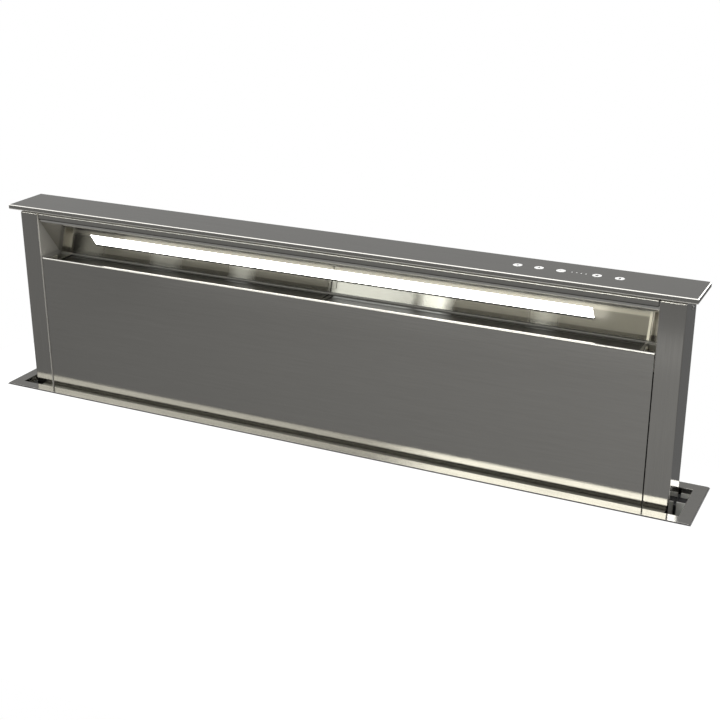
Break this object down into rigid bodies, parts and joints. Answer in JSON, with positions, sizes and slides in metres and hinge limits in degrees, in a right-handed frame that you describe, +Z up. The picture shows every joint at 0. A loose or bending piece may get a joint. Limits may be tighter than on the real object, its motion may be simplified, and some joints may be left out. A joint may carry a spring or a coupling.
{
  "type": "downdraft vent",
  "caption": "Worktop downdraft vent: a slim steel riser lifts through a flange, draws air in over its fascia past a lamp and filters, and blows it out through a round duct.",
  "frame": {"origin": "centre of the worktop flange's underside, at the worktop's surface", "axes": "+X along the vent towards the touch controls' end, +Y to its back, +Z up"},
  "size_m": [1.2, 0.3296, 0.9615],
  "materials": {
    "steel_brushed": "fine brushed stainless steel",
    "steel_polished": "bright polished stainless steel",
    "galvanised": "galvanised sheet steel",
    "zinc_steel": "zinc plated steel",
    "filter_frame": "dark anodised aluminium",
    "filter_mesh": "layered expanded metal, dark",
    "damper_metal": "plain aluminium sheet",
    "lamp_glow": "frosted white diffuser, lit",
    "circuit_board": "white circuit board",
    "black_plastic": "black moulded plastic",
    "motor_steel": "grey painted steel",
    "rubber_black": "black foam rubber",
    "seal_grey": "pale grey soft wiper strip"
  },
  "bodies": {
    "base": {"worktop_flange": "steel_brushed", "casing_front": "galvanised", "casing_rear": "galvanised", "casing_left": "galvanised", "casing_right": "galvanised", "casing_floor": "galvanised", "opening_seals": "seal_grey", "worktop_clamps": "galvanised", "clamp_screws": "zinc_steel", "cabinet_feet": "galvanised", "guide_rail_left": "galvanised", "guide_rail_right": "galvanised", "rack_left": "black_plastic", "rack_right": "black_plastic", "limit_switches": "black_plastic", "blower_box": "galvanised", "blower_cover": "galvanised", "scroll_housing": "black_plastic", "outlet_adaptor": "black_plastic", "inlet_ring": "black_plastic", "fan_motor": "motor_steel", "outlet_collar": "galvanised", "flap_hinge_pin": "zinc_steel", "control_box": "galvanised", "control_cover": "galvanised", "mains_gland": "black_plastic"},
    "riser": {"post_left": "steel_brushed", "post_right": "steel_brushed", "shaft_bushes": "black_plastic", "glide_blocks": "black_plastic", "fascia_panel": "steel_brushed", "back_panel": "steel_brushed", "header_rail": "steel_brushed", "cross_rail_front": "galvanised", "cross_rail_rear": "galvanised", "deflector_panel": "steel_polished", "lamp_housing": "black_plastic", "lamp_diffuser": "lamp_glow", "led_strip": "circuit_board", "filter_ledge": "galvanised", "finger_wells": "galvanised", "cap_plate": "steel_brushed", "touch_module": "black_plastic", "cap_gasket": "rubber_black", "lift_gearmotor": "motor_steel", "trip_cam": "zinc_steel"},
    "lift_drive": {"lift_shaft": "zinc_steel", "pinion_left": "zinc_steel", "pinion_right": "zinc_steel"},
    "filter_left": {"filter_frame_left": "filter_frame", "filter_mesh_left": "filter_mesh"},
    "filter_right": {"filter_frame_right": "filter_frame", "filter_mesh_right": "filter_mesh"},
    "impeller": {"blower_wheel": "black_plastic", "fan_shaft": "zinc_steel"},
    "flap_rear": {"damper_flap_rear": "damper_metal"},
    "flap_front": {"damper_flap_front": "damper_metal"}
  },
  "joints": [
    {"name": "riser_lift", "type": "slide", "parent": "base", "child": "riser", "axis": [0, 0, 1], "range_m": [-0.32, 0]},
    {"name": "lift_shaft_spin", "type": "hinge", "parent": "riser", "child": "lift_drive", "pos_m": [0, -0.009, -0.092], "axis": [1, 0, 0], "range_deg": [-1, 1147]},
    {"name": "filter_left_tilt", "type": "hinge", "parent": "riser", "child": "filter_left", "pos_m": [-0.252, 0.0152, 0.229], "axis": [-1, 0, 0], "range_deg": [0, 45]},
    {"name": "filter_right_tilt", "type": "hinge", "parent": "riser", "child": "filter_right", "pos_m": [0.252, 0.0152, 0.229], "axis": [-1, 0, 0], "range_deg": [0, 45]},
    {"name": "impeller_spin", "type": "hinge", "parent": "base", "child": "impeller", "pos_m": [-0.025, -0.14, -0.44], "axis": [0, 1, 0], "continuous": true},
    {"name": "flap_rear_swing", "type": "hinge", "parent": "base", "child": "flap_rear", "pos_m": [0.196, -0.1362, -0.54], "axis": [0, 0, -1], "range_deg": [0, 75], "stiffness_Nm_per_rad": 0.002},
    {"name": "flap_front_swing", "type": "hinge", "parent": "base", "child": "flap_front", "pos_m": [0.196, -0.1362, -0.54], "axis": [0, 0, 1], "range_deg": [0, 75], "stiffness_Nm_per_rad": 0.002}
  ],
  "couplings": [
    {"joint": "lift_shaft_spin", "follows": "riser_lift", "rad_per_m": -62.5}
  ]
}
